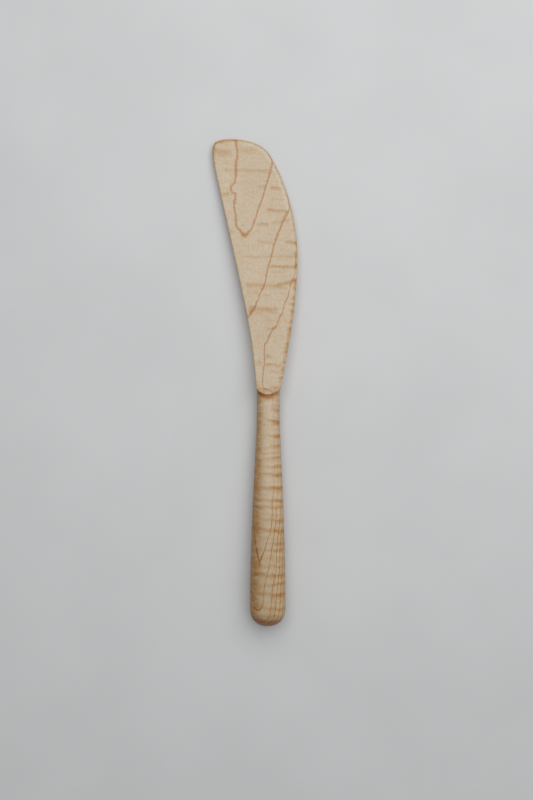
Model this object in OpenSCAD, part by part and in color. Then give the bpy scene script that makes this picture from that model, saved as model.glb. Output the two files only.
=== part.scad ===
/* [Overall] */
// Length from the tip of the blade to the end of the handle
overall_len = 200; // [190:1:215]

/* [Blade] */
// Length on the handle's axis from the tip to the round end of the tongue
blade_len = 105.7; // [100:0.1:110]
// Thickness of the tip, the thin end of the wedge
tip_t = 3; // [2:0.25:4]
// How far the long back edge reaches from the handle's axis, near the tip
back_reach = 22.1; // [19:0.1:25]
// How far the curved belly reaches from the handle's axis
belly_reach = 11.9; // [10:0.1:14]
// Distance from the tip to the widest place of the belly
belly_at = 49.5; // [40:0.5:55]
// Radius in plan of the tongue's round end, where the blade stops on the handle
tongue_r = 6.1; // [5.8:0.1:6.6]

/* [Rounded edges] */
// Edge radius along the back
back_round = 0.5; // [0.3:0.1:0.8]
// Edge radius across the tip
tip_round = 0.8; // [0.4:0.1:0.9]
// Edge radius along the belly
belly_round = 1.2; // [0.5:0.1:1.4]
// Edge radius of the tongue's end
tongue_round = 0.4; // [0.2:0.1:0.6]

/* [Handle] */
// Width of the neck, where the handle leaves the tongue
neck_w = 9.3; // [8.8:0.1:9.8]
// Height of the neck, less than the tongue's thickness, so the tongue stands proud
neck_h = 8.1; // [7:0.1:8.6]
// Length of the even neck before the handle starts to swell
neck_len = 8.5; // [3:0.5:12]
// Distance from the tongue's end over which the oval neck turns round
oval_len = 40; // [25:1:60]
// Diameter of the handle's round end
butt_d = 14.5; // [12:0.1:16]
// How far the round end lies to the left of the tongue's middle
lean = 0.3; // [0:0.1:1]

/* [Hidden] */

maple = [0.78, 0.69, 0.57];

// Steps of the mesh
corner_steps = 12;
back_steps = 42;
tongue_steps = 10;
flank_steps = 22;
belly_steps = 18;
tip_steps = 14;
round_steps = 5;
sides = 60;
swell_steps = 26;
butt_steps = 11;

// Places on the blade's outline, as [right of the handle's axis, below the tip, edge radius].
// Both runs of the back edge aim at back_bend.
tip_left = [0.9 - back_reach, 0.85, tip_round];
back_top = [-back_reach, 12.7, back_round];
back_bend = [-0.32 * back_reach, 0.755 * blade_len, back_round];
belly = [belly_reach, belly_at, belly_round];
tip_knee = [0.1, 6, tip_round];

// The tongue's arc meets both edges at this angle from the handle's axis.
tongue_angle = 54;
tongue_at = blade_len - tongue_r;
tongue_left = tongue_place(-tongue_angle);
tongue_right = tongue_place(tongue_angle);

// Directions of the outline at those places
along_tip = unit([1, -0.4, 0]);
down_knee = unit([0.65, 1, 0]);
down_belly = [0, 1, 0];
up_flank = unit([0.15, -1, 0]);
up_back = unit(back_top - back_bend);

// How far each curve runs on in those directions, at its first and at its last end
corner_pull = [3.5, 2.2];
flank_pull = [4, 21.5];
belly_pull = [21, 7.5];
tip_pull = [7.5, 4.7];

function unit(v) = v / norm(v);

function tongue_place(q) = [tongue_r * sin(q), tongue_at + tongue_r * cos(q), tongue_round];

function bezier(a, b, c, d, t) =
    pow(1 - t, 3) * a + 3 * t * pow(1 - t, 2) * b + 3 * t * t * (1 - t) * c + t * t * t * d;

// The places along one curve without its last one, with which the next curve starts
function curve(a, b, c, d, steps) = [for (i = [0 : steps - 1]) bezier(a, b, c, d, i / steps)];

// The same for the tongue's end, between two angles from the handle's axis
function tongue_arc(from, to) =
    [for (i = [0 : tongue_steps - 1]) tongue_place(from + (to - from) * i / tongue_steps)];

// From the tip round the corner, down the back, round the tongue, and up the flank and the
// belly back to the tip. The tongue's lowest place is halfway through the list.
outline = concat(
    curve(
        tip_left,
        tip_left - corner_pull[0] * along_tip,
        back_top + corner_pull[1] * up_back,
        back_top,
        corner_steps
    ),
    curve(back_top, back_bend, back_bend, tongue_left, back_steps),
    tongue_arc(-tongue_angle, 0),
    tongue_arc(0, tongue_angle),
    curve(
        tongue_right,
        tongue_right + flank_pull[0] * up_flank,
        belly + flank_pull[1] * down_belly,
        belly,
        flank_steps
    ),
    curve(
        belly,
        belly - belly_pull[0] * down_belly,
        tip_knee + belly_pull[1] * down_knee,
        tip_knee,
        belly_steps
    ),
    curve(
        tip_knee,
        tip_knee - tip_pull[0] * down_knee,
        tip_left + tip_pull[1] * along_tip,
        tip_left,
        tip_steps
    )
);
outline_n = len(outline);
half_n = outline_n / 2;
right_of_axis = [for (place = outline) place[0]];
below_tip = [for (place = outline) place[1]];

// Half the handle's width along its length, as [below the tip, half width]. The handle
// starts inside the tongue, swells along one curve and ends in a round end. A fullness of 1
// would make that end a half ball, and a lower one makes its shoulder squarer.
root_len = 9.5;
neck_r = neck_w / 2;
butt_r = butt_d / 2;
butt_at = overall_len - butt_r;
swell_at = blade_len + neck_len;
swell_run = butt_at - swell_at;
swell_pull = [0.12, 0.45];
fullness = 0.9;
profile = concat(
    [[blade_len - root_len, neck_r]],
    curve(
        [swell_at, neck_r],
        [swell_at + swell_pull[0] * swell_run, neck_r],
        [butt_at - swell_pull[1] * swell_run, butt_r],
        [butt_at, butt_r],
        swell_steps
    ),
    [for (k = [0 : butt_steps - 1])
        let (q = 90 * k / butt_steps)
            [butt_at + butt_r * pow(sin(q), fullness), butt_r * pow(cos(q), fullness)]]
);

// Height of the handle as a share of its width: oval at the neck, round further down
function height_share(below) =
    let (u = min(1, max(0, (below - blade_len) / oval_len)))
        neck_h / neck_w + (1 - neck_h / neck_w) * u * u * (3 - 2 * u);

// The middle of the wedge carries the handle's axis. It rises from the tip just so fast that
// the handle's underside touches the flat surface that the blade's lower face lies on.
rise = max([for (place = profile) (place[1] * height_share(place[0]) - tip_t / 2) / place[0]]);
tilt = atan(rise);

// The blade is lopsided, so the handle's axis lies beside the middle of the whole outline.
axis_x = -(min(right_of_axis) + max(right_of_axis)) / 2;
tip_y = overall_len / 2;

// A place of the outline in plan, with the outline's foremost point at tip_y
function plan(i) =
    let (place = outline[(i + outline_n) % outline_n])
        [axis_x + place[0], tip_y + min(below_tip) - place[1]];

// Direction to the inside of the outline, square to the line through both neighbours
function inward(i) =
    let (run = unit(plan(i + 1) - plan(i - 1)))
        [-run[1], run[0]];

// Height of the sloping upper face over a point of the plan
function upper_z(y) = tip_t + 2 * rise * (tip_y - y);

// One point of a rounded edge. It lies inside the outline and off the face by these shares
// of the edge radius.
function edge_point(i, inside, off, upper) =
    let (
        r = outline[i][2],
        p = plan(i) + r * inside * inward(i)
    )
        [p[0], p[1], upper ? upper_z(p[1]) - r * off : r * off];

quarter = [for (k = [0 : round_steps]) 90 * k / round_steps];

// Rings round the blade, from its lower face up its rounded edge to its upper face
blade_rings = concat(
    [for (q = quarter)
        [for (i = [0 : outline_n - 1]) edge_point(i, 1 - sin(q), 1 - cos(q), false)]],
    [for (q = quarter)
        [for (i = [0 : outline_n - 1]) edge_point(i, 1 - cos(q), 1 - sin(q), true)]]
);

// Strips across a flat face, from the outline's left half to its right half
function strips(first) = concat(
    [[first, first + 1, first + outline_n - 1]],
    [for (i = [1 : half_n - 2])
        [first + i, first + i + 1, first + outline_n - i - 1, first + outline_n - i]],
    [[first + half_n - 1, first + half_n, first + half_n + 1]]
);

function reversed(face) = [for (i = [len(face) - 1 : -1 : 0]) face[i]];

// Four-cornered faces from one ring of n points to the next
function band(ring, n) = [
    for (i = [0 : n - 1])
        let (next = (i + 1) % n)
            [ring * n + i, (ring + 1) * n + i, (ring + 1) * n + next, ring * n + next]
];

// The wedge: a flat lower face, a sloping upper face and rounded edges
module blade() {
    last = len(blade_rings) - 1;
    polyhedron(
        points = [for (ring = blade_rings) each ring],
        faces = concat(
            strips(0),
            [for (k = [0 : last - 1]) each band(k, outline_n)],
            [for (face = strips(last * outline_n)) reversed(face)]
        ),
        convexity = 4
    );
}

// A point of the handle's axis, which passes through the centre of the round end
butt_centre = [axis_x - lean, tip_y - butt_at, tip_t / 2 + rise * butt_at];
along_axis = [-lean / (butt_at - blade_len), -cos(tilt), sin(tilt)];
function on_axis(below) = butt_centre + (below - butt_at) * along_axis;

function handle_ring(below, r) = [
    for (j = [0 : sides - 1])
        let (
            q = 360 * j / sides,
            up = r * height_share(below) * sin(q)
        )
            on_axis(below) + [r * cos(q), up * sin(tilt), up * cos(tilt)]
];

// The handle, from its root inside the tongue to the pole of its round end
module handle() {
    last = len(profile) - 1;
    pole = len(profile) * sides;
    polyhedron(
        points = concat(
            [for (place = profile) each handle_ring(place[0], place[1])],
            [on_axis(overall_len)]
        ),
        faces = concat(
            [[for (j = [0 : sides - 1]) j]],
            [for (k = [0 : last - 1]) each band(k, sides)],
            [for (j = [0 : sides - 1])
                [last * sides + j, pole, last * sides + (j + 1) % sides]]
        ),
        convexity = 2
    );
}

// One piece of wood: the blade and the handle are carved from the same billet.
module spatula() {
    color(maple)
        union() {
            blade();
            handle();
        }
}

spatula();
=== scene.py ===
import math

import bmesh
import bpy
import numpy as np
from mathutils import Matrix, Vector
from mathutils.kdtree import KDTree


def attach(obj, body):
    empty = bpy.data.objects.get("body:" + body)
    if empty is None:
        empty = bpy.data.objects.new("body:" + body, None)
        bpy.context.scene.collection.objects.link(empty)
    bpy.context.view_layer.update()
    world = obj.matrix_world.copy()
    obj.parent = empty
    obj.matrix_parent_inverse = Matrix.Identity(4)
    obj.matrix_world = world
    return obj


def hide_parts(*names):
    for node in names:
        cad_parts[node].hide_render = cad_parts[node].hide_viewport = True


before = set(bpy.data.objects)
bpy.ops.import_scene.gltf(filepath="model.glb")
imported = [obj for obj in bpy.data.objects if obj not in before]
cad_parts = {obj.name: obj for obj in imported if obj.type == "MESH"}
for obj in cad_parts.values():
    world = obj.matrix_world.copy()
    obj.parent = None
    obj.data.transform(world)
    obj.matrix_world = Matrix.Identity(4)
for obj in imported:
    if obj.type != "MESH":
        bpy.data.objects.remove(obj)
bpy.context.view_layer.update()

# Lengths below are in millimetres, and mm brings them to Blender's metres.
mm = 0.001

# Driving dimensions, the same as the solid's
overall_len = 200.0
blade_len = 105.7
tip_t = 3.0
back_reach = 22.1
belly_reach = 11.9
belly_at = 49.5
tongue_r = 6.1
back_round = 0.5
tip_round = 0.8
belly_round = 1.2
tongue_round = 0.4
neck_w = 9.3
neck_h = 8.1
neck_len = 8.5
oval_len = 40.0
butt_d = 14.5
lean = 0.3

# Steps of the mesh, about half a millimetre each
rows = 190
columns = 60
round_steps = 8
wall_steps = 9
sides = 120
swell_steps = 150
neck_steps = 30
butt_steps = 24

# Places on the blade's outline, as [right of the handle's axis, below the tip, edge radius]
tip_left = np.array([0.9 - back_reach, 0.85, tip_round])
back_top = np.array([-back_reach, 12.7, back_round])
back_bend = np.array([-0.32 * back_reach, 0.755 * blade_len, back_round])
belly = np.array([belly_reach, belly_at, belly_round])
tip_knee = np.array([0.1, 6, tip_round])
tongue_angle = math.radians(54)
tongue_at = blade_len - tongue_r


def unit(v):
    return v / np.linalg.norm(v)


# Directions of the outline at those places, and how far each curve runs on in them
along_tip = unit(np.array([1, -0.4, 0]))
down_knee = unit(np.array([0.65, 1, 0]))
down_belly = np.array([0, 1.0, 0])
up_flank = unit(np.array([0.15, -1, 0]))
up_back = unit(back_top - back_bend)
corner_pull = [3.5, 2.2]
flank_pull = [4, 21.5]
belly_pull = [21, 7.5]
tip_pull = [7.5, 4.7]


def bezier(a, b, c, d, steps):
    """Places along one cubic curve, without its last one."""
    t = np.linspace(0, 1, steps, endpoint=False)[:, None]
    return (1 - t) ** 3 * a + 3 * t * (1 - t) ** 2 * b + 3 * t * t * (1 - t) * c + t**3 * d


def tongue_place(q):
    q = np.asarray(q)
    return np.stack(
        [tongue_r * np.sin(q), tongue_at + tongue_r * np.cos(q), np.full(q.shape, tongue_round)],
        axis=-1,
    )


def blade_outline():
    """From the top of the back down to the tongue, round it, up the belly and over the tip."""
    left, right = tongue_place(-tongue_angle), tongue_place(tongue_angle)
    half = rows // 2
    corner = columns // 3
    return np.concatenate(
        [
            bezier(back_top, back_bend, back_bend, left, rows),
            tongue_place(np.linspace(-tongue_angle, tongue_angle, columns, endpoint=False)),
            bezier(
                right,
                right + flank_pull[0] * up_flank,
                belly + flank_pull[1] * down_belly,
                belly,
                half,
            ),
            bezier(
                belly,
                belly - belly_pull[0] * down_belly,
                tip_knee + belly_pull[1] * down_knee,
                tip_knee,
                rows - half,
            ),
            bezier(
                tip_knee,
                tip_knee - tip_pull[0] * down_knee,
                tip_left + tip_pull[1] * along_tip,
                tip_left,
                columns - corner,
            ),
            bezier(
                tip_left,
                tip_left - corner_pull[0] * along_tip,
                back_top + corner_pull[1] * up_back,
                back_top,
                corner,
            ),
        ]
    )


# Half the handle's width along its length. A fullness of 1 would make its end a half ball,
# and a lower one makes the end's shoulder squarer.
neck_r = neck_w / 2
butt_r = butt_d / 2
butt_at = overall_len - butt_r
root_len = 9.5
root_at = blade_len - root_len
swell_at = blade_len + neck_len
swell_run = butt_at - swell_at
swell_pull = [0.12, 0.45]
fullness = 0.9


def handle_profile():
    """Places along the handle as [below the tip, half width], from the root to near the pole."""
    neck = np.linspace(root_at, swell_at, neck_steps, endpoint=False)
    q = np.linspace(0, math.pi / 2, butt_steps, endpoint=False)
    return np.concatenate(
        [
            np.stack([neck, np.full(neck.shape, neck_r)], axis=1),
            bezier(
                np.array([swell_at, neck_r]),
                np.array([swell_at + swell_pull[0] * swell_run, neck_r]),
                np.array([butt_at - swell_pull[1] * swell_run, butt_r]),
                np.array([butt_at, butt_r]),
                swell_steps,
            ),
            np.stack(
                [butt_at + butt_r * np.sin(q) ** fullness, butt_r * np.cos(q) ** fullness], axis=1
            ),
        ]
    )


def rising(value, low, high):
    """0 where the value is below low, 1 where it is above high, and a soft rise between."""
    t = np.clip((value - low) / (high - low), 0, 1)
    return t * t * (3 - 2 * t)


def hump(off):
    """1 where off is 0, falling softly on both sides to nothing at about 2."""
    return np.exp(-(off**2))


def height_share(below):
    """Height of the handle as a share of its width: oval at the neck, round further down."""
    oval = neck_h / neck_w
    return oval + (1 - oval) * rising(below, blade_len, blade_len + oval_len)


outline = blade_outline()
profile = handle_profile()

# The wedge's middle rises from the tip so that the handle just touches the floor.
rise = np.max((profile[:, 1] * height_share(profile[:, 0]) - tip_t / 2) / profile[:, 0])
tilt = math.atan(rise)
axis_x = -(outline[:, 0].min() + outline[:, 0].max()) / 2
tip_y = overall_len / 2
butt_centre = np.array([axis_x - lean, tip_y - butt_at, tip_t / 2 + rise * butt_at])
along_axis = np.array([-lean / (butt_at - blade_len), -math.cos(tilt), math.sin(tilt)])


def upper_z(y):
    return tip_t + 2 * rise * (tip_y - y)


def on_axis(below):
    return butt_centre + (below - butt_at) * along_axis


def filled(ring):
    """A grid of places across a closed ring, whose four sides are its back, tongue, belly and tip."""
    left = ring[: rows + 1]
    bottom = ring[rows : rows + columns + 1]
    right = ring[rows + columns : 2 * rows + columns + 1][::-1]
    top = np.concatenate([ring[2 * rows + columns :], ring[:1]])[::-1]
    u = np.linspace(0, 1, columns + 1)[None, :, None]
    v = np.linspace(0, 1, rows + 1)[:, None, None]
    across = (1 - u) * left[:, None] + u * right[:, None]
    along = (1 - v) * top[None] + v * bottom[None]
    corners = (
        (1 - u) * (1 - v) * top[0]
        + u * (1 - v) * top[-1]
        + (1 - u) * v * bottom[0]
        + u * v * bottom[-1]
    )
    return across + along - corners


def grid_faces(high, wide, first=0):
    """Four-cornered faces of a grid of high by wide points, numbered from first."""
    k = first + np.arange(high * wide).reshape(high, wide)
    return np.stack([k[:-1, :-1], k[1:, :-1], k[1:, 1:], k[:-1, 1:]], axis=-1).reshape(-1, 4)


def band_faces(rings, n, first=0):
    """Four-cornered faces between rings of n points each, closed round."""
    k = first + np.arange(rings * n).reshape(rings, n)
    after = np.roll(k, -1, axis=1)
    return np.stack([k[:-1], after[:-1], after[1:], k[1:]], axis=-1).reshape(-1, 4)


def mesh_object(name, points, faces):
    """A mesh of these points, given in millimetres, with coinciding ones merged."""
    mesh = bpy.data.meshes.new(name)
    mesh.from_pydata((np.asarray(points) * mm).tolist(), [], faces)
    work = bmesh.new()
    work.from_mesh(mesh)
    bmesh.ops.remove_doubles(work, verts=work.verts, dist=1e-4 * mm)
    bmesh.ops.recalc_face_normals(work, faces=work.faces)
    work.to_mesh(mesh)
    work.free()
    piece = bpy.data.objects.new(name, mesh)
    bpy.context.scene.collection.objects.link(piece)
    return piece


def outline_in_plan():
    """The blade's outline in plan, and the direction to its inside at each place."""
    plan = np.stack([axis_x + outline[:, 0], tip_y + outline[:, 1].min() - outline[:, 1]], axis=1)
    run = np.roll(plan, -1, axis=0) - np.roll(plan, 1, axis=0)
    run /= np.linalg.norm(run, axis=1)[:, None]
    return plan, np.stack([-run[:, 1], run[:, 0]], axis=1)


def blade_mesh():
    """The wedge: two flat faces and, between them, rings round its rounded edges and wall."""
    plan, inward = outline_in_plan()
    radius = outline[:, 2]

    def edge_ring(inside, off, upper):
        place = plan + (radius * inside)[:, None] * inward
        z = upper_z(place[:, 1]) - radius * off if upper else radius * off
        return np.column_stack([place, z])

    turns = np.linspace(0, math.pi / 2, round_steps + 1)
    lower = [edge_ring(1 - math.sin(q), 1 - math.cos(q), False) for q in turns]
    upper = [edge_ring(1 - math.cos(q), 1 - math.sin(q), True) for q in turns]
    wall = [
        lower[-1] + (upper[0] - lower[-1]) * k / (wall_steps + 1) for k in range(1, wall_steps + 1)
    ]
    rings = lower + wall + upper
    n = len(outline)
    points = np.concatenate(rings)
    faces = band_faces(len(rings), n).tolist()
    for ring in (lower[0], upper[-1]):
        faces += grid_faces(rows + 1, columns + 1, len(points)).tolist()
        points = np.concatenate([points, filled(ring).reshape(-1, 3)])
    return mesh_object("blade", points, faces)


def handle_mesh():
    """Oval and then round rings along the tilted axis, closed by the pole of the round end."""
    q = np.linspace(0, 2 * math.pi, sides, endpoint=False)
    below, r = profile[:, :1], profile[:, 1:]
    up = r * height_share(below) * np.sin(q)
    rings = np.stack([r * np.cos(q), up * math.sin(tilt), up * math.cos(tilt)], axis=-1)
    rings += on_axis(below)[:, None]
    last = (len(profile) - 1) * sides
    pole = len(profile) * sides
    points = np.concatenate([rings.reshape(-1, 3), [on_axis(overall_len)]])
    faces = band_faces(len(profile), sides).tolist()
    faces.append(list(range(sides)))
    faces += [[last + j, pole, last + (j + 1) % sides] for j in range(sides)]
    return mesh_object("handle", points, faces)


def carved_from_one():
    """The blade and the handle as one closed mesh."""
    piece = blade_mesh()
    handle = handle_mesh()
    union = piece.modifiers.new("union", "BOOLEAN")
    union.operation = "UNION"
    union.solver = "EXACT"
    union.object = handle
    whole = bpy.data.meshes.new_from_object(
        piece.evaluated_get(bpy.context.evaluated_depsgraph_get())
    )
    piece.modifiers.clear()
    piece.data = whole
    piece.name = "maple_spatula"
    whole.name = piece.name
    bpy.data.objects.remove(handle)
    whole.shade_smooth()
    whole.set_sharp_from_angle(angle=math.radians(40))
    return piece


# Growth lines where they come out on the upper side, as places [x, y] read off the photograph.
# Each belongs to one layer of growth, and the layers are counted towards the handle's end.
# Entries with a fraction of a layer lie between the lines and steady the layers there.
blade_lines = [
    (0, [(-7.9, 98.4), (-7.2, 94.1), (-7.8, 89.6), (-7.9, 83.5), (-9.2, 80.9), (-9.9, 79.1)]),
    (0, [(-9, 77.5), (-8.1, 75.9), (-8.5, 72.3), (-7.9, 68.2), (-7.6, 63.9), (-6.6, 62.4), (-5.4, 61)]),
    (0, [(-4.2, 59.5), (-2.5, 61.2), (-1.3, 62.7), (-0.2, 65.5), (1.4, 70.6), (3, 74.9)]),
    (0, [(4.5, 80.4), (6.2, 85.6), (7.2, 90.2)]),
    (1, [(13.9, 70), (11.8, 66.1), (10.1, 61.7), (8.6, 58.2), (7.1, 52.7), (5.7, 47.2)]),
    (1, [(4.5, 42.2), (4, 39.2), (2.1, 35.7), (1.1, 32.7), (-0.4, 29.2), (-2.6, 26.4)]),
    (2, [(16.9, 50), (16.6, 46), (16.1, 42.5), (14.8, 40.3), (14.2, 37.3), (13.6, 34.5)]),
    (2, [(12.4, 32.3), (11.8, 30.2), (11.3, 27.9), (10.3, 26.2), (9.5, 24.2), (8.6, 22.1)]),
    (2, [(7.3, 20.9), (5.9, 18.1), (4.8, 16), (4, 13.9), (3.9, 11.2), (4, 8.5), (3.7, 5.1)]),
    (2, [(3.3, 1.7), (3.1, -0.9), (3.7, -2.9), (5.6, -4), (7.2, -4.8)]),
    (1.8, [(3.2, -5), (5, -5.8)]),
    (-0.5, [(-2.2, 96.7), (-1.2, 84.5), (-3.2, 72.3)]),
    (0.4, [(-15.2, 90.6), (-12.2, 77.4), (-8.1, 51.2)]),
    (0.6, [(11.8, 79.4), (6.8, 67.3)]),
    (1.35, [(-1.1, 14.2), (13.8, 54.2), (12.8, 51.2)]),
    (2.4, [(13.7, 25.2), (10.8, 9.3), (8.8, 0.3)]),
]
handle_lines = [
    (2, [(7.3, -5.4), (7.7, -12.5), (8, -22.4), (8, -36.2), (7.7, -45), (7.1, -52.8)]),
    (2, [(6.6, -59.8), (5.7, -62.8), (4.4, -67), (3.3, -70), (2, -72.6), (1.3, -70.9)]),
    (2, [(0.8, -68.5), (0.3, -65.2), (-0.2, -61), (-0.5, -52.1), (-0.2, -40.3)]),
    (3, [(9.4, -25.4), (9.1, -38.2), (8.7, -49.9), (7.9, -62), (7, -67.5), (6.3, -72.7)]),
    (3, [(5.3, -77), (4.6, -80), (3.8, -84), (3.5, -89.2), (2.9, -91), (1.4, -92.5)]),
    (3, [(-0.1, -90.9), (-0.8, -88.3)]),
    (4, [(10.8, -45), (10.2, -56.9), (9.1, -66), (8.6, -76.2), (7.5, -81.5), (6.8, -89), (6, -94.6)]),
    (5, [(11.4, -56.9), (10.8, -62), (10.2, -70), (9.6, -80), (8.8, -87.5), (8.2, -93)]),
    (6, [(11.4, -68), (11.2, -76), (10.6, -84.5), (10.2, -91)]),
    (1.3, [(4.3, -15.5), (4.2, -30.3), (4, -44.9)]),
    (1.5, [(3, -57.7)]),
    (2.6, [(1.8, -84)]),
]
layers_per_mm = 0.43


def middle_x(below):
    """Where the handle's axis lies across the wood."""
    return axis_x - lean * (below - blade_len) / (butt_at - blade_len)


def blade_top(x, y):
    """Height of the blade's upper face, which is level across the wood."""
    return upper_z(y)


def handle_top(x, y):
    """Height of the handle's upper side, without the small effect of its tilt."""
    below = tip_y - y
    r = np.interp(below, profile[:, 0], profile[:, 1])
    arch = np.sqrt(np.clip(1 - ((x - middle_x(below)) / r) ** 2, 0, 1))
    return tip_t / 2 + rise * below + r * height_share(below) * arch


class Spline:
    """The smoothest surface over the plan that has given values at given places."""

    # Layers run along the wood, so a distance across it counts for more.
    scale = np.array([2.5, 1.0]) / 50

    def __init__(self, places, values):
        self.places = places * self.scale
        n = len(places)
        matrix = np.zeros((n + 3, n + 3))
        matrix[:n, :n] = self.bend(self.places)
        matrix[:n, n] = 1
        matrix[:n, n + 1 :] = self.places
        matrix[n:, :n] = matrix[:n, n:].T
        self.weights = np.linalg.solve(matrix, np.append(values, [0, 0, 0]))

    def bend(self, places):
        far = ((places[:, None] - self.places[None]) ** 2).sum(axis=2)
        return 0.5 * far * np.log(np.maximum(far, 1e-12))

    def at(self, places):
        scaled = places * self.scale
        n = len(self.places)
        return self.bend(scaled) @ self.weights[:n] + self.weights[n] + scaled @ self.weights[n + 1 :]


def layer_spline(lines, top_of):
    places = np.array([place for _, line in lines for place in line], float)
    layers = np.array([layer for layer, line in lines for _ in line], float)
    return Spline(places, layers + layers_per_mm * top_of(places[:, 0], places[:, 1]))


def growth_layers(points, normals, on_blade):
    """The layer of growth at each point, and how fast it changes along the surface per mm."""
    layer = np.zeros(len(points))
    slope = np.zeros((len(points), 3))
    step = 0.05
    cases = (
        (on_blade, blade_lines, blade_top),
        (~on_blade, handle_lines, handle_top),
    )
    for chosen, lines, top_of in cases:
        spline = layer_spline(lines, top_of)
        plan = points[chosen, :2]
        here = spline.at(plan)
        layer[chosen] = here - layers_per_mm * points[chosen, 2]
        slope[chosen, 0] = (spline.at(plan + [step, 0]) - here) / step
        slope[chosen, 1] = (spline.at(plan + [0, step]) - here) / step
        slope[chosen, 2] = -layers_per_mm
    slope -= (slope * normals).sum(axis=1)[:, None] * normals
    return layer, np.linalg.norm(slope, axis=1)


# Dark bands of the curl on the blade, as [left x, left y, right x, right y, half width, strength]
blade_curl = [
    (-17.2, 95, -9.2, 94.2, 1, 0.35),
    (-7.2, 95.9, 1.8, 94.8, 0.9, 0.2),
    (-13.2, 87.2, 6.8, 86.7, 0.5, 0.25),
    (0.8, 80.2, 4.8, 80.2, 0.5, 0.2),
    (5.8, 79.8, 11.3, 79.3, 0.5, 0.45),
    (-14.2, 77.2, -9.7, 77.2, 0.6, 0.35),
    (5.8, 74.8, 13.8, 74.8, 0.3, 0.2),
    (4.3, 70.6, 14.3, 69.8, 0.45, 0.45),
    (0.3, 64.6, 6.3, 64.5, 0.45, 0.45),
    (6.8, 65.3, 14.8, 66.1, 0.5, 0.25),
    (-11.2, 62.2, -8.2, 61.9, 0.7, 0.3),
    (0.3, 57.9, 8.8, 56.3, 0.4, 0.3),
    (11.8, 57.6, 17.8, 56.4, 0.4, 0.4),
    (-6.1, 51.1, 17.8, 51, 0.25, 0.3),
    (5.8, 47, 17.8, 46.8, 0.4, 0.5),
    (5.8, 44.7, 12.8, 44.7, 0.3, 0.2),
    (-4.1, 39.4, 9.4, 39.1, 0.6, 0.4),
    (8, 39.2, 17.7, 41.2, 0.5, 0.5),
    (8.8, 38.9, 13.8, 37.6, 0.5, 0.3),
    (-4.1, 36.3, 1.8, 36.1, 0.5, 0.25),
    (2.8, 35.8, 6.8, 35.2, 0.4, 0.2),
    (-3.1, 29.8, 9.8, 29.2, 0.9, 0.35),
    (2.8, 25.2, 9.8, 24.8, 0.5, 0.15),
    (3.8, 20.9, 7.3, 21.1, 0.4, 0.2),
    (3.8, 10.7, 7.3, 9.6, 0.5, 0.4),
    (0, 7.7, 3.8, 7.4, 0.5, 0.25),
    (3.8, 6.9, 11.2, 6.3, 0.5, 0.35),
    (5.3, 3.8, 10.3, 3.7, 0.4, 0.2),
]

# Short bands on the belly's rounded edge, by their y
belly_curl = [57, 52, 47.5, 41.5, 38, 34.2, 31.5, 28.5, 24.2, 21.5, 19.3, 15.5, 13.8, 12, 7.5, 4.5, 1.5]

# Bands round the handle, as [y on its left, y on its right, strength on its left and right]
handle_curl = [
    (-9.8, -9.9, 0, 0.3),
    (-11.9, -11.8, 0, 0.55),
    (-14.6, -16.8, 0.2, 1),
    (-18, -17.6, 0.2, 0.2),
    (-21.9, -22.5, 0.1, 0.9),
    (-27.5, -26.2, 0.25, 0.8),
    (-29.4, -29.1, 0.3, 0.2),
    (-32, -31.1, 0.2, 0.6),
    (-35, -34.7, 0.3, 0.75),
    (-37.3, -38.2, 0.4, 1),
    (-43.1, -43.3, 0.6, 1),
    (-44.8, -44.6, 0, 0.3),
    (-47.8, -48.7, 0.25, 0.95),
    (-50.7, -51.3, 0.45, 0.6),
    (-53.2, -54.6, 0.15, 0.25),
    (-55.4, -56.7, 0.35, 0.65),
    (-59.4, -60.9, 0.5, 0.95),
    (-63.7, -64.2, 0.1, 0.2),
    (-65.3, -66, 0.05, 0.75),
    (-68.5, -68.3, 0.25, 0.55),
    (-71.6, -72.1, 0.25, 0.45),
    (-74.6, -74.9, 0.25, 0.55),
    (-77.8, -78.6, 0.6, 0.65),
    (-82.8, -81.9, 0.3, 0.65),
    (-85.3, -86.5, 0.5, 0.8),
    (-90.5, -92.3, 0.5, 0.55),
    (-94.5, -95.1, 0.3, 0.3),
]

# How much the curl stands out on each part
blade_curl_depth = 1.62
belly_curl_depth = 1.01
handle_curl_depth = 1.35

# How softly a band on the blade ends, and half the width of a short one on the belly
band_fade = 1.2
belly_band_half = 0.4

# Dark spots where a growth line turns back, as [x, y, half width, half length, strength]
dark_spots = [(-4.2, 60, 1.3, 1, 1.2), (2, -74, 0.5, 1.8, 0.8)]


def wander(x, y):
    """y, shifted a little to and fro, so that bands of curl waver."""
    return y + 0.15 * np.sin(1.3 * x + 0.4 * y)


def band(y, middle, half):
    """1 in the middle of a band, with a sharp upper and a soft lower side."""
    return hump((y - middle) / np.where(y > middle, half, 1.8 * half))


def curl_of_blade(x, y, from_belly):
    total = np.zeros(len(x))
    for left, left_y, right, right_y, half, strength in blade_curl:
        middle = left_y + (right_y - left_y) * (x - left) / (right - left)
        ends = rising(x, left, left + band_fade) * rising(-x, -right, band_fade - right)
        total += blade_curl_depth * strength * ends * band(y, middle, half)
    near_belly = 1 - rising(from_belly, 0.24, 2.64)
    for middle in belly_curl:
        total += belly_curl_depth * near_belly * band(y, middle, belly_band_half)
    return total


def curl_of_handle(x, y):
    below = tip_y - y
    share = (x - middle_x(below)) / np.interp(below, profile[:, 0], profile[:, 1])
    across = np.clip((share + 0.75) / 1.5, 0, 1)
    total = np.zeros(len(x))
    for left_y, right_y, left, right in handle_curl:
        strength = left + (right - left) * across**2
        middle = left_y + (right_y - left_y) * across
        total += strength * band(y, middle, 0.35 + 0.2 * strength)
    return handle_curl_depth * total


def spots(x, y):
    total = np.zeros(len(x))
    for spot_x, spot_y, half_x, half_y, strength in dark_spots:
        total += strength * hump(np.hypot((x - spot_x) / half_x, (y - spot_y) / half_y))
    return total


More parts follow.
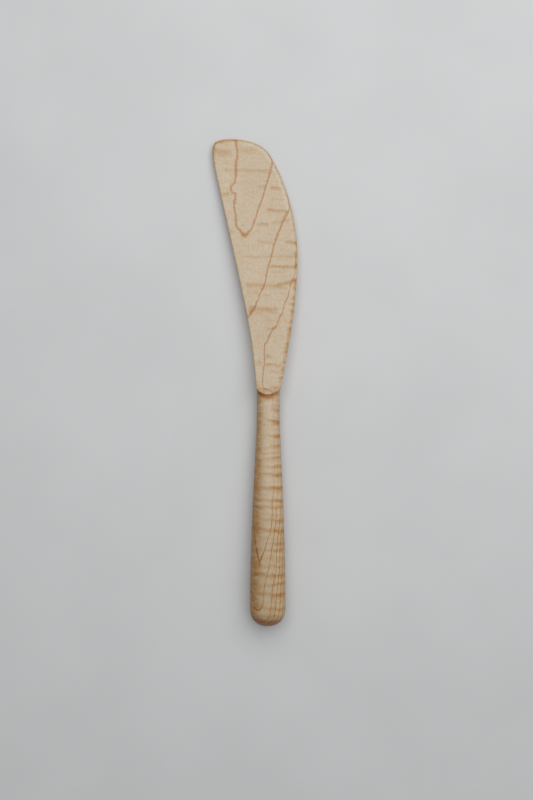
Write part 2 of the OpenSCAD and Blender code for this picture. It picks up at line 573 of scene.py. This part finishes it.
# How golden the blade's edge is, and how far in, at stations counted in the outline's parts:
# 0 to 1 is the back, 1 to 2 the tongue, 2 to 3 the belly and 3 to 4 the tip
gold_at = [0, 0.9, 1.05, 1.95, 2.05, 2.45, 2.7, 3, 3.25, 3.4, 3.6, 3.8, 4]
gold_amount = [0.18, 0.18, 0.7, 0.7, 0.55, 0.44, 0.13, 0.3, 0.6, 1, 1.4, 1, 0.18]
gold_width = [0.6, 0.6, 2.2, 2.2, 1.3, 1.3, 1, 0.6, 0.7, 1, 1.2, 0.9, 0.6]

# How bright the painted highlight is in a strip inside that edge along the belly and the tip, and where
# it runs
highlight_at = [2, 2.1, 2.5, 2.7, 3.3, 3.6, 4]
highlight_amount = [0, 0.5, 0.7, 1, 1, 0.3, 0]
highlight_inside = 1.35
highlight_half = 0.55


def stations(x, y):
    """For each place, its station on the blade's outline and how far inside the outline it is."""
    plan, inward = outline_in_plan()
    ends = np.array([0, rows, rows + columns, 2 * rows + columns, len(plan)])
    station = np.interp(np.arange(len(plan)), ends, np.arange(5))
    tree = KDTree(len(plan))
    for i, place in enumerate(plan):
        tree.insert((*place, 0), i)
    tree.balance()
    nearest = np.array([tree.find((*place, 0))[1] for place in zip(x, y)])
    inside = ((np.stack([x, y], axis=1) - plan[nearest]) * inward[nearest]).sum(axis=1)
    return station[nearest], inside


def blade_tones(x, y, side, layer):
    """What the blade's wood is like at each point, with a painted highlight inside the edge and painted
    light on the side facing right. side is how far the surface faces right.
    """
    below = tip_y - y
    station, inside = stations(x, y)
    golden = np.interp(station, gold_at, gold_amount)
    golden *= 1 - rising(inside / np.interp(station, gold_at, gold_width), 0.5, 1.5)
    # painted highlight: a lighter strip just inside the rounded belly and tip edges, where they catch
    # the light
    painted_highlight = np.interp(station, highlight_at, highlight_amount)
    from_belly = np.where((station > 2) & (station < 3), inside, np.inf)
    return {
        "curl": curl_of_blade(x, wander(x, y), from_belly),
        "line_depth": 0.85,
        "line_width": 0.036 - 0.012 * rising(layer, 0, 1.2),
        "gold_and_shade": golden,
        "painted_highlight": painted_highlight * hump((inside - highlight_inside) / highlight_half),
        # painted light: the belly's side that faces right, towards the lamp, is made lighter
        "painted_lit_side": rising(below, 25, 45) * rising(side, 0.25, 0.6),
        "flecked": 0,
        "end_grain_and_shade": 0,
        "towards_butt": 0.1 * rising(below, 60, 80),
    }


def handle_tones(x, y, side, end):
    """The same for the handle, with painted shade on its left side and painted light on its right side.
    end is how far the surface faces along the handle.
    """
    below = tip_y - y
    lower = rising(below, 130, 170)
    # golden wood on the handle's sides, much stronger on the left, which faces away from the lamp:
    # partly painted shade
    golden_and_shaded_left = 0.75 * rising(-side, 0.3, 0.8) + 0.3 * rising(-side, 0.7, 0.95)
    golden_right = (0.24 - 0.14 * rising(below, 115, 185)) * rising(side, 0.35, 0.75)
    return {
        "curl": curl_of_handle(x, wander(x, y)),
        "line_depth": 0.4 + 0.95 * lower,
        "line_width": 0.022 + 0.012 * lower * (1 - rising(below, 172, 184)),
        "gold_and_shade": golden_and_shaded_left + golden_right,
        "painted_highlight": 0,
        # painted light: the handle's side that faces right, towards the lamp, is made lighter
        "painted_lit_side": (0.5 + 0.5 * rising(below, 120, 155)) * rising(side, 0.25, 0.6),
        "flecked": lower * rising(side, -0.1, 0.3),
        # darker end grain where the surface faces along the handle, starting sooner on the left side as
        # painted shade
        "end_grain_and_shade": rising(end + 0.12 * rising(-side, 0.1, 0.5), 0.33, 0.58),
        "towards_butt": rising(below, 115, 195),
    }


def tongue_tones(x, below, off_tongue):
    """A golden stain with painted shade in the crevice, and a painted shadow of the step as a darker
    crescent, on the neck under the tongue's round end.
    """
    across = x - axis_x
    right = rising(across, 0.3, 3.3)
    past_tongue = (below > tongue_at) & (off_tongue > -0.03)
    # the stain in the crevice below the step is partly painted shade: widest to the left, away from the
    # light, and shorter on the lit right side
    stain_and_crevice_shade = 1 - rising(off_tongue + 0.08 * across**2, 0.9, 3.1)
    return {
        "stain_and_crevice_shade": past_tongue * stain_and_crevice_shade * (1 - 0.4 * right),
        # painted shadow: a darker crescent where the tongue's step shades the neck, fainter to the lit
        # right
        "painted_step_shadow": past_tongue * hump((off_tongue - 0.85) / 0.55) * (1 - 0.8 * right),
    }


def vertex_vectors(mesh, name):
    values = np.empty(len(mesh.vertices) * 3, np.float32)
    mesh.vertices.foreach_get(name, values)
    return values.reshape(-1, 3).astype(float)


def mark_figure(piece):
    """Keeps with the mesh what its wood is like at each point, and where light and shade are painted on
    it.
    """
    mesh = piece.data
    points = vertex_vectors(mesh, "co") / mm
    normals = vertex_vectors(mesh, "normal")
    x, y = points[:, 0], points[:, 1]
    side, end = normals[:, 0], np.abs(normals[:, 1])
    below = tip_y - y
    off_tongue = np.hypot(x - axis_x, below - tongue_at) - tongue_r
    on_blade = (below < tongue_at) | (off_tongue < 0.02)
    layer, slope = growth_layers(points, normals, on_blade)
    upward = normals[:, 2] > 0
    marks = {"layer": layer, "layer_slope": slope, "spots": spots(x, y) * upward}
    marks.update(tongue_tones(x, below, off_tongue))
    handle = handle_tones(x, y, side, end)
    for name, values in blade_tones(x, y, side, layer).items():
        marks[name] = np.where(on_blade, values, handle[name])
    for name, values in marks.items():
        mark = mesh.attributes.new(name, "FLOAT", "POINT")
        mark.data.foreach_set("value", values.astype(np.float32))


class Graph:
    """Short names for the nodes of one material."""

    def __init__(self, name):
        self.material = bpy.data.materials.new(name)
        self.material.use_nodes = True
        self.tree = self.material.node_tree
        self.shader = self.tree.nodes["Principled BSDF"]

    def node(self, kind, settings, inputs):
        made = self.tree.nodes.new(kind)
        for key, value in settings.items():
            setattr(made, key, value)
        for key, value in inputs.items():
            self.feed(made.inputs[key], value)
        return made

    def feed(self, socket, value):
        if isinstance(value, bpy.types.NodeSocket):
            self.tree.links.new(value, socket)
        else:
            socket.default_value = value

    def math(self, operation, *values, clamp=False):
        settings = {"operation": operation, "use_clamp": clamp}
        return self.node("ShaderNodeMath", settings, dict(enumerate(values))).outputs[0]

    def attribute(self, name):
        return self.node("ShaderNodeAttribute", {"attribute_name": name}, {}).outputs["Fac"]

    def ramp(self, value, low, high, to_low=0.0, to_high=1.0):
        """value between low and high brought softly to between to_low and to_high."""
        inputs = {"Value": value, 1: low, 2: high, 3: to_low, 4: to_high}
        settings = {"interpolation_type": "SMOOTHSTEP"}
        return self.node("ShaderNodeMapRange", settings, inputs).outputs["Result"]

    def mix(self, factor, a, b, blend="MIX"):
        settings = {"data_type": "RGBA", "blend_type": blend}
        inputs = {0: factor, 6: a, 7: b}
        return self.node("ShaderNodeMix", settings, inputs).outputs[2]

    def noise(self, per_mm, detail=2.0, roughness=0.5):
        """Noise, about -1 to 1, with this many swings a millimetre along x, y and z."""
        place = self.node("ShaderNodeTexCoord", {}, {}).outputs["Object"]
        stretched = self.node(
            "ShaderNodeVectorMath",
            {"operation": "MULTIPLY"},
            {0: place, 1: tuple(rate / mm for rate in per_mm)},
        ).outputs[0]
        texture = self.node(
            "ShaderNodeTexNoise",
            {},
            {"Vector": stretched, "Scale": 1.0, "Detail": detail, "Roughness": roughness},
        )
        return self.node(
            "ShaderNodeMapRange",
            {"clamp": False},
            {"Value": texture.outputs["Fac"], 1: 0.3, 2: 0.7, 3: -1.0, 4: 1.0},
        ).outputs["Result"]


def tinted(graph, colour, tones):
    """colour, multiplied by each tint in the amount that stands before it."""
    for amount, tint in tones:
        multiplied = graph.mix(1.0, colour, (*tint, 1.0), "MULTIPLY")
        colour = graph.mix(amount, colour, multiplied)
    return colour


# A growth line's half width on the surface, least and most, in millimetres
thinnest_line = 0.13
thickest_line = 0.45


def growth_lines(graph, ripple):
    """1 on a dark growth line and 0 away from it. A line is as thick as its layer cuts the
    surface, and it wavers a little."""
    waver = graph.noise((0.5, 0.5, 0.5), detail=2.0)
    layer = graph.math("MULTIPLY_ADD", waver, 0.014, graph.attribute("layer"))
    off = graph.math("ABSOLUTE", graph.math("SUBTRACT", graph.math("FRACT", layer), 0.5))
    off = graph.math("SUBTRACT", 0.5, off)
    slope = graph.math("MAXIMUM", graph.attribute("layer_slope"), 0.01)
    distance = graph.math("DIVIDE", off, slope)
    half = graph.math("DIVIDE", graph.attribute("line_width"), slope)
    half = graph.math("MINIMUM", graph.math("MAXIMUM", half, thinnest_line), thickest_line)
    half = graph.math("MULTIPLY", half, graph.math("MULTIPLY_ADD", waver, 0.25, 1.0))
    line = graph.ramp(graph.math("DIVIDE", distance, half), 0.4, 1.7, 1.0, 0.0)
    depth = graph.math("MULTIPLY_ADD", ripple, 0.12, graph.attribute("line_depth"))
    dark = graph.math("MULTIPLY", line, depth)
    return graph.math("ADD", dark, graph.attribute("spots"), clamp=True)


# The bare wood's colour on the blade, and the darker colour towards the handle's end
bare_wood = (0.592, 0.488, 0.359, 1)
butt_end_wood = (0.500, 0.389, 0.250, 1)

# What each feature of the wood, and each painted light, highlight and shade, multiplies that colour by
cloud_tint = (0.96, 0.95, 0.93)
fibre_tint = (0.975, 0.955, 0.93)
grain_tint = (0.87, 0.86, 0.85)
ripple_tint = (0.95, 0.9, 0.82)
fleck_tint = (0.86, 0.75, 0.55)
# painted light on the side that faces the lamp
painted_light_tint = (1.2, 1.25, 1.31)
# painted highlight inside the blade's edge
highlight_tint = (1.08, 1.14, 1.22)
# golden edges and sides of the wood, and painted shade on the handle's left side
gold_and_shade_tint = (0.80, 0.56, 0.26)
# darker end grain, with painted shade on the butt's left side
end_grain_and_shade_tint = (0.68, 0.45, 0.29)
curl_tint = (0.79, 0.54, 0.22)
# golden stain and painted shade in the crevice under the tongue
stain_and_crevice_shade_tint = (0.90, 0.50, 0.08)
# painted shadow of the tongue's step
step_shadow_tint = (0.60, 0.50, 0.6)
line_tint = (0.77, 0.46, 0.22)


def maple():
    """Pale oiled maple with growth lines, curl, end grain and fine fibres, with painted light,
    highlights and shade.
    """
    graph = Graph("maple")
    fibres = graph.noise((2.2, 0.14, 2.2), detail=3.0, roughness=0.6)
    cloud = graph.noise((0.10, 0.06, 0.10), detail=2.0)
    ripple = graph.noise((0.22, 0.7, 0.22), detail=4.0, roughness=0.65)
    grain = graph.noise((1.6, 1.2, 1.6), detail=3.0)
    flecks = graph.noise((1.7, 0.6, 1.7), detail=2.0)
    flecked = graph.math("MULTIPLY", graph.ramp(flecks, -0.2, 1), graph.attribute("flecked"))
    blotches = graph.math("MULTIPLY_ADD", ripple, 0.9, 1.05)
    gold_and_shade = graph.math("MULTIPLY", graph.attribute("gold_and_shade"), blotches)
    bands = graph.math("MULTIPLY_ADD", ripple, 0.15, graph.math("MULTIPLY_ADD", fibres, 0.1, 1.0))
    bands = graph.math("MULTIPLY", graph.attribute("curl"), bands, clamp=True)
    # Among these tones, the lit right side, the highlight inside the edge, the extra gold and end grain
    # on the left, the crevice stain and the step's crescent are painted light and shade
    tones = [
        (graph.ramp(cloud, -1, 1), cloud_tint),
        (graph.ramp(fibres, -1, 1.2), fibre_tint),
        (graph.ramp(grain, -1, 1), grain_tint),
        (graph.ramp(ripple, -1, 1), ripple_tint),
        (flecked, fleck_tint),
        (graph.attribute("painted_lit_side"), painted_light_tint),
        (graph.attribute("painted_highlight"), highlight_tint),
        (gold_and_shade, gold_and_shade_tint),
        (graph.attribute("end_grain_and_shade"), end_grain_and_shade_tint),
        (bands, curl_tint),
        (graph.attribute("stain_and_crevice_shade"), stain_and_crevice_shade_tint),
        (graph.attribute("painted_step_shadow"), step_shadow_tint),
        (growth_lines(graph, ripple), line_tint),
    ]
    colour = tinted(graph, graph.mix(graph.attribute("towards_butt"), bare_wood, butt_end_wood), tones)
    graph.feed(graph.shader.inputs["Base Color"], colour)
    roughness = graph.math("MULTIPLY_ADD", fibres, 0.04, 0.46)
    graph.feed(graph.shader.inputs["Roughness"], roughness)
    bump = graph.node(
        "ShaderNodeBump", {}, {"Strength": 0.25, "Distance": 0.05 * mm, "Height": fibres}
    )
    graph.feed(graph.shader.inputs["Normal"], bump.outputs["Normal"])
    return graph.material


def worktop():
    """Plain, light grey and cool, with a very faint cloudiness."""
    graph = Graph("worktop")
    cloud = graph.noise((0.02, 0.02, 0.02), detail=3.0)
    colour = graph.mix(graph.ramp(cloud, -1, 1), (0.60, 0.61, 0.615, 1), (0.575, 0.585, 0.59, 1))
    graph.feed(graph.shader.inputs["Base Color"], colour)
    graph.feed(graph.shader.inputs["Roughness"], 0.6)
    return graph.material


def make_floor():
    half = 2500
    corners = [(-half, -half, 0), (half, -half, 0), (half, half, 0), (-half, half, 0)]
    floor = mesh_object("floor", corners, [[0, 1, 2, 3]])
    floor.data.materials.append(worktop())


# The photograph looks straight down. Its 800 rows cover image_len at the object's height.
image_len = 328.7 * mm
camera_above = 460 * mm
object_z = 5 * mm
aimed_at = (4.79 * mm, -7.78 * mm)
sensor_width = 36


def make_camera():
    data = bpy.data.cameras.new("camera")
    data.sensor_width = sensor_width
    data.lens = sensor_width * camera_above / image_len
    camera = bpy.data.objects.new("camera", data)
    camera.location = (*aimed_at, object_z + camera_above)
    bpy.context.scene.collection.objects.link(camera)
    bpy.context.scene.camera = camera


# A wide soft lamp beyond the tip, to its right, and an even light sky
lamp_place = Vector((100, 220, 600)) * mm
lamp_size = 800 * mm
lamp_watts = 4.5
sky_light = 0.24
sky_shown = 0.85


def make_lamp():
    lamp = bpy.data.lights.new("lamp", "AREA")
    lamp.shape = "SQUARE"
    lamp.size = lamp_size
    lamp.energy = lamp_watts
    lamp_object = bpy.data.objects.new("lamp", lamp)
    lamp_object.location = lamp_place
    lamp_object.rotation_euler = (-lamp_place).to_track_quat("-Z", "Y").to_euler()
    bpy.context.scene.collection.objects.link(lamp_object)


def make_sky():
    """An even sky, which the camera sees brighter than it lights."""
    world = bpy.data.worlds.new("sky")
    bpy.context.scene.world = world
    world.use_nodes = True
    nodes = world.node_tree.nodes
    sky = nodes["Background"]
    sky.inputs["Color"].default_value = (1, 1, 1, 1)
    path = nodes.new("ShaderNodeLightPath")
    strength = nodes.new("ShaderNodeMapRange")
    strength.inputs["To Min"].default_value = sky_light
    strength.inputs["To Max"].default_value = sky_shown
    world.node_tree.links.new(path.outputs["Is Camera Ray"], strength.inputs["Value"])
    world.node_tree.links.new(strength.outputs["Result"], sky.inputs["Strength"])


make_camera()
make_floor()
make_lamp()
make_sky()
bpy.context.scene.view_settings.view_transform = "Standard"

spatula = carved_from_one()
mark_figure(spatula)
spatula.data.materials.clear()
spatula.data.materials.append(maple())
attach(spatula, "root")
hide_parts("spatula")
